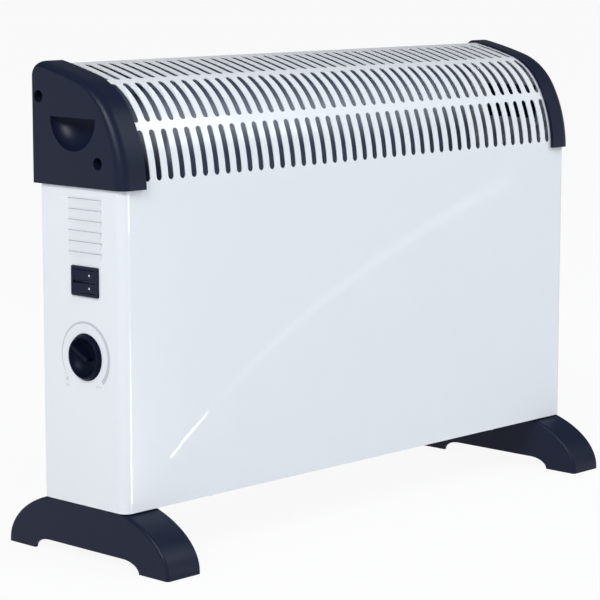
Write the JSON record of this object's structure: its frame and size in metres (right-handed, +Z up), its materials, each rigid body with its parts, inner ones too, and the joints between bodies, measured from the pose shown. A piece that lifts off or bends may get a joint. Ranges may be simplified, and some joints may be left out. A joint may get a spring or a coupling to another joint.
{
  "type": "convector heater",
  "caption": "Free-standing convector heater with a curved slotted sheet-metal casing, plastic end caps with finger grips, arched feet, a thermostat knob and a twin rocker switch.",
  "frame": {"origin": "on the floor, under the middle of the heater's outer size", "axes": "+X along the heater towards the plain end, +Y towards the back, +Z up; the slotted front faces -Y and the controls are on the -X end"},
  "size_m": [0.5928, 0.2, 0.4162],
  "materials": {
    "casing_paint": "satin powder coat",
    "dark_plastic": "fine satin",
    "knob_plastic": "satin",
    "switch_plastic": "satin",
    "rocker_plastic": "satin with a white dot",
    "zinc_screws": "bright zinc",
    "zinc_sheet": "galvanised",
    "aluminised_sheet": "mill",
    "resistance_wire": "oxidised",
    "mica": "matt",
    "ceramic": "glazed",
    "brass_contacts": "bright",
    "moulded_black": "matt",
    "terminal_plastic": "matt",
    "live_insulation": "silicone",
    "neutral_insulation": "silicone",
    "earth_insulation": "silicone"
  },
  "bodies": {
    "heater": {"front_casing": "casing_paint", "rear_panel": "casing_paint", "left_end_panel": "casing_paint", "right_end_panel": "casing_paint", "base_grille": "casing_paint", "left_cap": "dark_plastic", "right_cap": "dark_plastic", "left_cap_bracket": "zinc_sheet", "right_cap_bracket": "zinc_sheet", "cap_screws": "zinc_screws", "left_foot": "dark_plastic", "right_foot": "dark_plastic", "foot_screws": "zinc_screws", "rear_screws": "zinc_screws", "base_screws": "zinc_screws", "thermostat_strap": "zinc_sheet", "strap_nuts": "zinc_screws", "thermostat_body": "ceramic", "thermostat_blades": "brass_contacts", "thermostat_screws": "zinc_screws", "switch_housing": "switch_plastic", "switch_terminals": "brass_contacts", "heat_shield": "aluminised_sheet", "ceramic_bushes": "ceramic", "left_element_bracket": "aluminised_sheet", "right_element_bracket": "aluminised_sheet", "element_screws": "zinc_screws", "element_rails": "aluminised_sheet", "mica_cards": "mica", "front_element": "resistance_wire", "rear_element": "resistance_wire", "thermal_cutout": "moulded_black", "cutout_screws": "zinc_screws", "terminal_block": "terminal_plastic", "terminal_screws": "zinc_screws", "cord_inlet": "moulded_black", "inlet_nut": "moulded_black", "earth_stud": "zinc_screws", "live_leads": "live_insulation", "neutral_leads": "neutral_insulation", "earth_lead": "earth_insulation"},
    "knob": {"thermostat_knob": "knob_plastic", "thermostat_spindle": "zinc_screws"},
    "upper_rocker": {"upper_rocker": "rocker_plastic"},
    "lower_rocker": {"lower_rocker": "rocker_plastic"}
  },
  "joints": [
    {"name": "thermostat_turn", "type": "hinge", "parent": "heater", "child": "knob", "pos_m": [-0.2917, -0.0056, 0.1742], "axis": [1, 0, 0], "range_deg": [-63, 193]},
    {"name": "upper_rocker_tilt", "type": "hinge", "parent": "heater", "child": "upper_rocker", "pos_m": [-0.2912, -0.0067, 0.2429], "axis": [0, 0, -1], "range_deg": [0, 16]},
    {"name": "lower_rocker_tilt", "type": "hinge", "parent": "heater", "child": "lower_rocker", "pos_m": [-0.2912, -0.0067, 0.2321], "axis": [0, 0, -1], "range_deg": [0, 16]}
  ]
}
